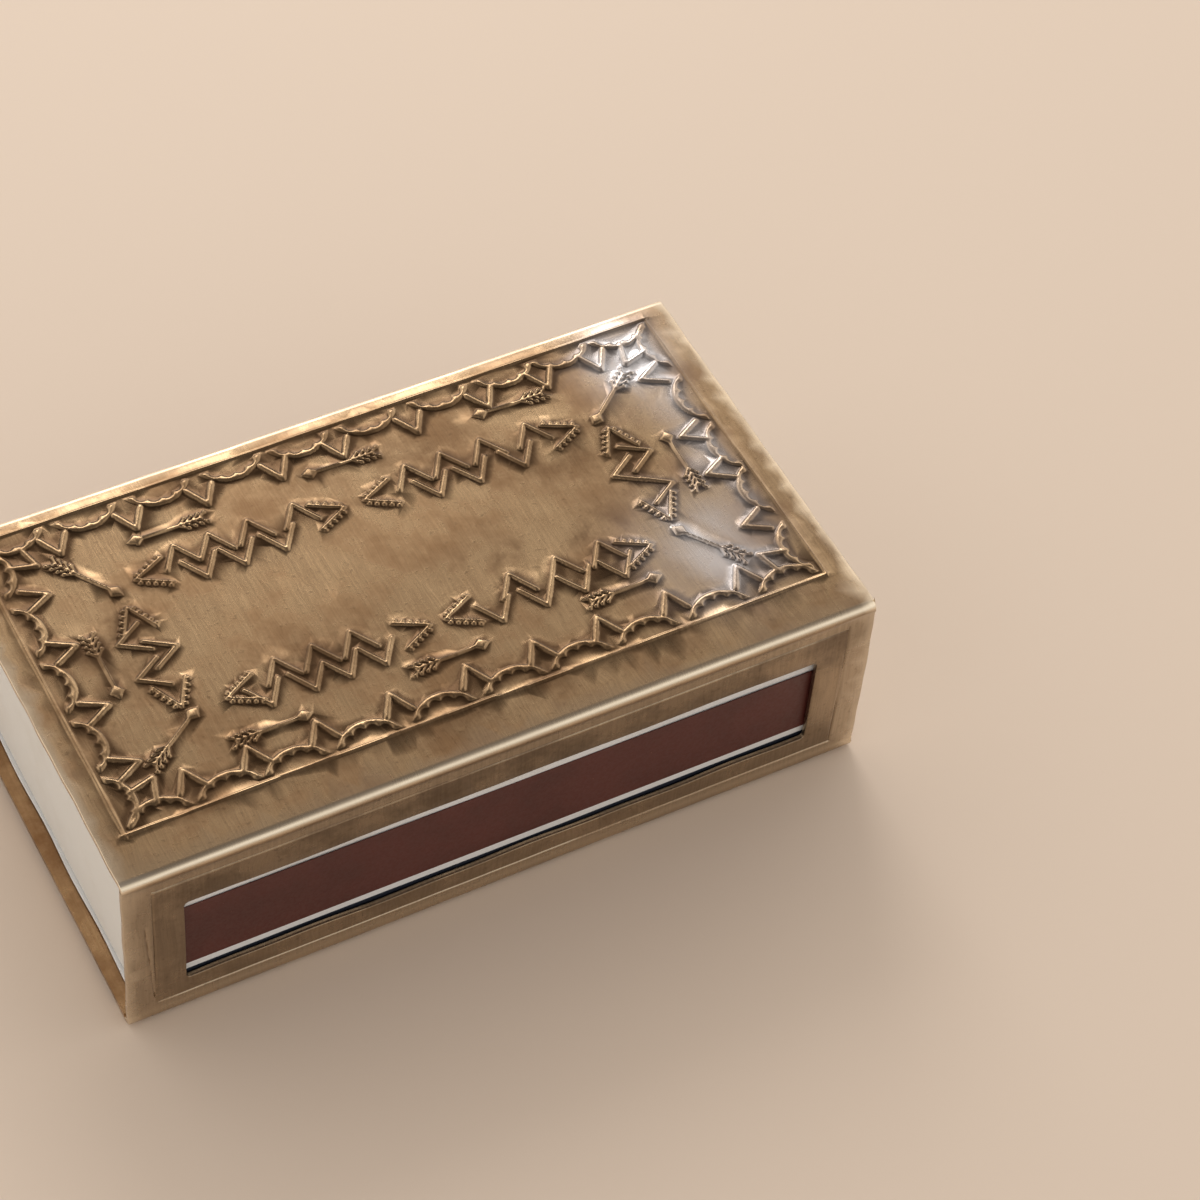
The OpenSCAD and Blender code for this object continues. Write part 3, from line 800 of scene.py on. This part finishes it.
def make_cover_brass():
    material, tree, shader, _ = new_material("patinated_brass")
    place = node(tree, "ShaderNodeUVMap", uv_map="sheet").outputs[0]
    age = use_group(tree, metal_age, place)
    field = {name: node(tree, "ShaderNodeAttribute", attribute_name=name).outputs["Fac"]
             for name in ("relief", "foot_patina_and_shade", "tarnish_and_shade", "wear_and_fold_highlight", "painted_sheen", "painted_wall_light")}
    color = blend(tree, age["Cloud"], BRASS_BROWN, BRASS_STRAW)
    # Painted light: the walls are blended towards pale brass, paler than the top.
    color = blend(tree, field["painted_wall_light"], color, BRASS_PALE)
    color = blend(tree, spread(tree, field["relief"], 0.5, 1.0, 0.0, 0.35), color, BRASS_STRAW)
    # Tarnish clouds plus painted shade on the walls: they darken the colour and dull the metal.
    tarnish_and_shade_mix = sum_up(tree, field["tarnish_and_shade"], spread(tree, age["Cloud"], 0.0, 1.0, 0.9, 0.2), "MULTIPLY")
    color = blend(tree, tarnish_and_shade_mix, color, BRASS_DARK)
    # Nearly black at the foot of each stamp: partly patina, partly painted shade in place of occlusion.
    color = blend(tree, spread(tree, field["foot_patina_and_shade"], 0.02, 0.09, 0.0, 0.9), color, BRASS_DARK)
    color = blend(tree, sum_up(tree, age["Streak"], 0.22, "MULTIPLY"), color, BRASS_DARK)
    color = blend(tree, sum_up(tree, age["Pits"], 0.3, "MULTIPLY"), color, BRASS_DARK)
    # Worn brass at the ends and lower folds, and a painted highlight along the top folds.
    color = blend(tree, field["wear_and_fold_highlight"], color, BRASS_BRIGHT)
    # Painted bluish reflection of the window on the right end of the top.
    color = blend(tree, sum_up(tree, field["painted_sheen"], 0.65, "MULTIPLY"), color, PAINTED_SHEEN_COLOR)
    rough = sum_up(tree, spread(tree, age["Cloud"], 0.0, 1.0, 0.32, 0.22),
                   sum_up(tree, tarnish_and_shade_mix, 0.16, "MULTIPLY"))
    height = sum_up(tree, sum_up(tree, age["Streak"], 0.6, "MULTIPLY"),
                    sum_up(tree, age["Pits"], 0.4, "MULTIPLY"))
    shader.inputs["Metallic"].default_value = 1
    finish(tree, shader, color, rough, height, 0.00003)
    return material


def make_plain_metal(name, dark, light, rough_low, rough_high):
    """Metal without marks of its own: clouds between two colours, under fine brush lines."""
    material, tree, shader, place = new_material(name)
    age = use_group(tree, metal_age, place)
    color = blend(tree, age["Cloud"], dark, light)
    color = blend(tree, sum_up(tree, age["Streak"], 0.3, "MULTIPLY"), color, dark)
    shader.inputs["Metallic"].default_value = 1
    rough = spread(tree, age["Cloud"], 0.0, 1.0, rough_high, rough_low)
    finish(tree, shader, color, rough, age["Streak"], 0.00003)
    return material


cover_brass = make_cover_brass()
sawn_brass = make_plain_metal("sawn_edge_brass", (0.3, 0.2, 0.11), (0.75, 0.6, 0.42), 0.28, 0.42)
plate_brass = make_plain_metal("base_plate_brass", (0.28, 0.15, 0.07), (0.6, 0.4, 0.22), 0.25, 0.4)
solder = make_plain_metal("grey_solder", (0.25, 0.23, 0.2), (0.62, 0.59, 0.54), 0.35, 0.55)
print("metals:", cover_brass.name, sawn_brass.name, plate_brass.name, solder.name)

# %% [markdown]
# The matchbox is thin white board, painted near-black along its lower edge as shade where it sits
# behind the brass wall, and the striking surface is red phosphorus in glue, dark and a little shiny,
# with light specks of glass.
# The matches are split aspen, pale and straight-grained, and their heads are a grainy red paste.

# %% Board, striker, matches
# Top of the painted shade on the carton's sides, in millimetres.
SHADE_TOP = 7.75


def make_board(name, white, soil, shade_band=False):
    material, tree, shader, place = new_material(name)
    fibre = use_group(tree, paper_fibre, place)
    color = blend(tree, sum_up(tree, fibre["Soil"], 0.3, "MULTIPLY"), white, soil)
    if shade_band:
        # Painted shade: near-black on the carton's sides below the windows' lower edges, where the gap
        # behind the brass wall is in shade.
        at = node(tree, "ShaderNodeSeparateXYZ", {0: place})
        below = node(tree, "ShaderNodeMath", {0: at.outputs["Z"], 1: SHADE_TOP * MM}, operation="LESS_THAN")
        aside = node(tree, "ShaderNodeMath", {0: at.outputs["Y"]}, operation="ABSOLUTE")
        side = node(tree, "ShaderNodeMath", {0: aside.outputs[0], 1: 33.2 * MM}, operation="GREATER_THAN")
        shaded_below_window = sum_up(tree, below.outputs[0], side.outputs[0], "MULTIPLY")
        color = blend(tree, shaded_below_window, color, (0.012, 0.016, 0.03))
    finish(tree, shader, color, 0.62, fibre["Fibre"], 0.00004, 0.5)
    return material


def make_striker():
    material, tree, shader, place = new_material("striking_surface")
    grain = noise(tree, place, 1800.0, 3.0)
    cloud = spread(tree, noise(tree, place, 90.0), 0.35, 0.7)
    color = blend(tree, cloud, (0.085, 0.016, 0.012), (0.063, 0.012, 0.009))
    color = blend(tree, spread(tree, grain, 0.7, 0.78, 0.0, 0.5), color, (0.4, 0.2, 0.16))
    finish(tree, shader, color, spread(tree, grain, 0.3, 0.7, 0.3, 0.5), grain, 0.00003, 0.5)
    return material


def make_wood():
    material, tree, shader, place = new_material("match_aspen")
    grain = noise(tree, stretched(tree, place, (2500, 80, 2500)), 1.0, 5.0)
    color = blend(tree, spread(tree, grain, 0.35, 0.65), (0.62, 0.44, 0.25), (0.8, 0.64, 0.42))
    finish(tree, shader, color, 0.65, grain, 0.00008, 0.6)
    return material


def make_head():
    material, tree, shader, place = new_material("match_paste")
    grain = noise(tree, place, 2600.0, 3.0)
    color = blend(tree, spread(tree, grain, 0.35, 0.65), (0.24, 0.03, 0.025), (0.4, 0.055, 0.04))
    finish(tree, shader, color, 0.7, grain, 0.00015, 0.8)
    return material


carton_board = make_board("white_carton_board", (0.76, 0.76, 0.76), (0.6, 0.54, 0.46), shade_band=True)
tray_board = make_board("tray_board", (0.7, 0.68, 0.64), (0.52, 0.46, 0.38))
striker, match_wood, match_head = make_striker(), make_wood(), make_head()
print("paper and matches ready")

# %% Dress the pieces made so far and the CAD nodes that stay
def dress(mesh, *materials):
    """Gives a mesh its materials, in the order of its material numbers."""
    mesh.materials.clear()
    for material in materials:
        mesh.materials.append(material)


dress(cover_mesh, cover_brass, sawn_brass)
NODE_FINISH = {
    "base_plate": plate_brass, "solder_seam": solder, "tray": tray_board,
    "matchsticks": match_wood, "match_heads": match_head,
}
for name, material in NODE_FINISH.items():
    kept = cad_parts[name]
    if not kept.material_slots:
        kept.data.materials.append(None)
    for holder in kept.material_slots:
        holder.material = material
print("CAD nodes dressed:", ", ".join(NODE_FINISH))

# %% [markdown]
# The sleeve is one strip of board, folded three times and glued along a flap under its top. It is
# made the same way as the cover, as a flat grid bent along a section, then thickened. Its walls
# bow in a little and its ends aren't quite square, as on any carton that has been carried about.

# %% Carton sleeve
BOARD_T = 0.6
CARTON_FOLD = 0.7
FLAP = 14.0
sleeve_low, sleeve_high = (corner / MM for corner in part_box("box_sleeve"))


def carton_path(step):
    """The sleeve's section, from the glued flap round three folds and back over the top."""
    y, low, high = sleeve_high.y, sleeve_low.z, sleeve_high.z
    flap_z = high - BOARD_T - 0.06
    path = [(y - FLAP, flap_z)]
    for cy, cz, first in ((y, flap_z, 90), (y, low, 0), (-y, low, -90), (-y, high, -180)):
        into_y = -math.copysign(CARTON_FOLD, cy)
        into_z = CARTON_FOLD if cz == low else -CARTON_FOLD
        for k in range(5):
            angle = math.radians(first - 22.5 * k)
            out_y, out_z = CARTON_FOLD * math.cos(angle), CARTON_FOLD * math.sin(angle)
            corner = (cy + into_y + out_y, cz + into_z + out_z)
            if k == 0:
                count = max(1, round(math.dist(path[-1], corner) / step))
                a = path[-1]
                path += [(a[0] + (corner[0] - a[0]) * n / count, a[1] + (corner[1] - a[1]) * n / count)
                         for n in range(1, count)]
            path.append(corner)
    a, count = path[-1], round(2 * y / step)
    path += [(a[0] + (y - 0.2 - a[0]) * n / count, a[1]) for n in range(1, count + 1)]
    return np.array(path)


def bent_grid(name, along, path, bend):
    """A grid laid along X and bent along a path of (y, z) points. bend shifts its corners."""
    bm = bmesh.new()
    nc, nr = len(along) - 1, len(path) - 1
    bmesh.ops.create_grid(bm, x_segments=nc, y_segments=nr, size=1)
    for vert in bm.verts:
        i, j = round((vert.co.x + 1) / 2 * nc), round((vert.co.y + 1) / 2 * nr)
        vert.co = Vector(bend(along[i], path[j][0], path[j][1])) * MM
    mesh = bpy.data.meshes.new(name)
    bm.to_mesh(mesh)
    bm.free()
    return mesh


def carton_bend(x, y, z):
    """Bows the walls in by up to a quarter of a millimetre, and leaves the ends not quite square."""
    bow_y = 0.25 * (1 - abs(z - 18) / 16) * (1 + math.sin(x * 0.09 + y)) / 2
    bow_z = 0.25 * (1 - (y / 34) ** 2) * (1 + math.sin(x * 0.07 + 1)) / 2
    y -= math.copysign(max(0, bow_y), y) * (abs(y) > 32)
    z -= math.copysign(max(0, bow_z), z - 18) * (abs(z - 18) > 15)
    end = max(0, abs(x) / sleeve_high.x - 0.97) / 0.03
    x -= math.copysign(end * 0.12 * (1 + math.sin(y * 0.3 + z * 0.4)), x)
    return x, y, z


along = np.linspace(sleeve_low.x, sleeve_high.x, 61)
carton_mesh = bent_grid("carton_sleeve", along, carton_path(3), carton_bend)
thicken(carton_mesh, BOARD_T * MM, 0.05 * MM)
dress(carton_mesh, carton_board, carton_board)
add_piece(carton_mesh, "carton_sleeve", "carton", "carton_board", "box_sleeve")
print("sleeve faces:", len(carton_mesh.polygons))

# %% [markdown]
# At the open end one corner of the carton is torn and curls outwards, and the striking surfaces
# were printed a little askew, so the white strip above the front one grows towards the right.

# %% Striking surfaces and torn corner
for side, name in ((-1, "striker_front"), (1, "striker_back")):
    low, high = (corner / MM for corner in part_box(name))
    outer = max(abs(low.y), abs(high.y)) * side
    heights = [(outer, low.z + 0.02 + k * (high.z - low.z - 0.04) / 10) for k in range(11)]

    def skew(x, y, z):
        part = (z - low.z) / (high.z - low.z)
        fall = 0.8 * (0.5 + x / (2 * high.x))
        return x * 0.9995, y, z - part * fall + part * (1 - part) * 0.1 * math.sin(x * 0.3)

    sheet = bent_grid(name + "_sheet", np.linspace(low.x, high.x, 61), heights, skew)
    thicken(sheet, (high.y - low.y) * MM, 0.03 * MM)
    dress(sheet, striker, striker)
    add_piece(sheet, name + "_sheet", "carton", "striker", name)


def curl(x, y, z):
    """Rolls a sliver of board outwards past the sleeve's end, beside the tray's path."""
    angle = (z - 2.2) / 1.1
    out = 1.0 * math.sin(angle) - 0.1
    return sleeve_low.x - out, y + 0.6 * x, 2.9 + 0.9 * (1 - math.cos(angle))


roll = [(-33.2, 2.2 + k * 0.25) for k in range(11)]
torn = bent_grid("torn_corner", np.linspace(0, 1, 4), roll, curl)
thicken(torn, 0.25 * MM, 0.03 * MM)
dress(torn, carton_board, carton_board)
add_piece(torn, "torn_corner", "carton", "carton_board")
print("strikers and torn corner made")

# %% [markdown]
# The table is pale and matt. The light is a soft room: bright low down and towards the window at
# the back, dim overhead. Brass mirrors exactly that, so a dim ceiling is what makes its flat top
# brown while every slope that turns towards the window lights up.

# %% Floor
FLOOR_COLOR = (0.73, 0.6, 0.49)


def make_floor():
    bm = bmesh.new()
    bmesh.ops.create_grid(bm, x_segments=1, y_segments=1, size=4)
    mesh = bpy.data.meshes.new("floor")
    bm.to_mesh(mesh)
    bm.free()
    table = bpy.data.objects.new("floor", mesh)
    bpy.context.scene.collection.objects.link(table)
    material, _, shader, _ = new_material("pale_table")
    shader.inputs["Base Color"].default_value = (*FLOOR_COLOR, 1)
    shader.inputs["Roughness"].default_value = 0.75
    dress(mesh, material)
    return table


floor = make_floor()
print("table", round(floor.dimensions.x, 1), "m wide")

# %% Light
WINDOW_AZIMUTH = 15
WINDOW_HEIGHT = 32
SKY_STRENGTH = (0.92, 1.85)
SKY = (
    (0.0, (0.72, 0.68, 0.62)), (0.4, (1.0, 0.97, 0.93)), (0.62, (0.85, 0.81, 0.76)),
    (0.78, (0.42, 0.385, 0.35)), (0.9, (0.22, 0.2, 0.185)), (1.0, (0.16, 0.15, 0.145)),
)


def make_world():
    """A gradient from horizon to ceiling, brighter towards the window. The camera sees table colour."""
    world = bpy.data.worlds.new("soft_room")
    bpy.context.scene.world = world
    world.use_nodes = True
    tree = world.node_tree
    tree.nodes.clear()
    place = tree.nodes.new("ShaderNodeTexCoord").outputs["Generated"]
    split = node(tree, "ShaderNodeSeparateXYZ", {0: place})
    ramp = node(tree, "ShaderNodeValToRGB", {0: split.outputs["Z"]})
    stops = ramp.color_ramp.elements
    stops[0].position, stops[0].color = SKY[0][0], (*SKY[0][1], 1)
    stops[1].position, stops[1].color = SKY[-1][0], (*SKY[-1][1], 1)
    for height, color in SKY[1:-1]:
        stops.new(height).color = (*color, 1)
    azimuth = math.radians(WINDOW_AZIMUTH)
    towards = node(tree, "ShaderNodeVectorMath", {0: place, 1: (math.sin(azimuth), math.cos(azimuth), 0)},
                   operation="DOT_PRODUCT")
    strength = spread(tree, towards.outputs["Value"], -1.0, 1.0, *SKY_STRENGTH)
    lit = node(tree, "ShaderNodeBackground", {"Color": ramp.outputs["Color"], "Strength": strength})
    plain = node(tree, "ShaderNodeBackground", {"Color": (*FLOOR_COLOR, 1), "Strength": 1.0})
    seen = node(tree, "ShaderNodeLightPath").outputs["Is Camera Ray"]
    mix = node(tree, "ShaderNodeMixShader", {0: seen, 1: lit.outputs[0], 2: plain.outputs[0]})
    out = tree.nodes.new("ShaderNodeOutputWorld")
    tree.links.new(mix.outputs[0], out.inputs["Surface"])


def make_window(distance=0.9, size=0.4, power=2.5):
    """One large soft lamp where the window is. It gives the shadow and the glints on the ridges."""
    data = bpy.data.lights.new("window", "AREA")
    data.size, data.energy, data.color = size, power, (1.0, 0.97, 0.93)
    lamp = bpy.data.objects.new("window", data)
    bpy.context.scene.collection.objects.link(lamp)
    azimuth, height = math.radians(WINDOW_AZIMUTH), math.radians(WINDOW_HEIGHT)
    lamp.location = distance * Vector((
        math.sin(azimuth) * math.cos(height), math.cos(azimuth) * math.cos(height), math.sin(height)))
    lamp.rotation_euler = lamp.location.to_track_quat("Z", "Y").to_euler()


make_world()
make_window()
bpy.context.scene.view_settings.view_transform = "Standard"
print("light from", WINDOW_AZIMUTH, "degrees right of the back")
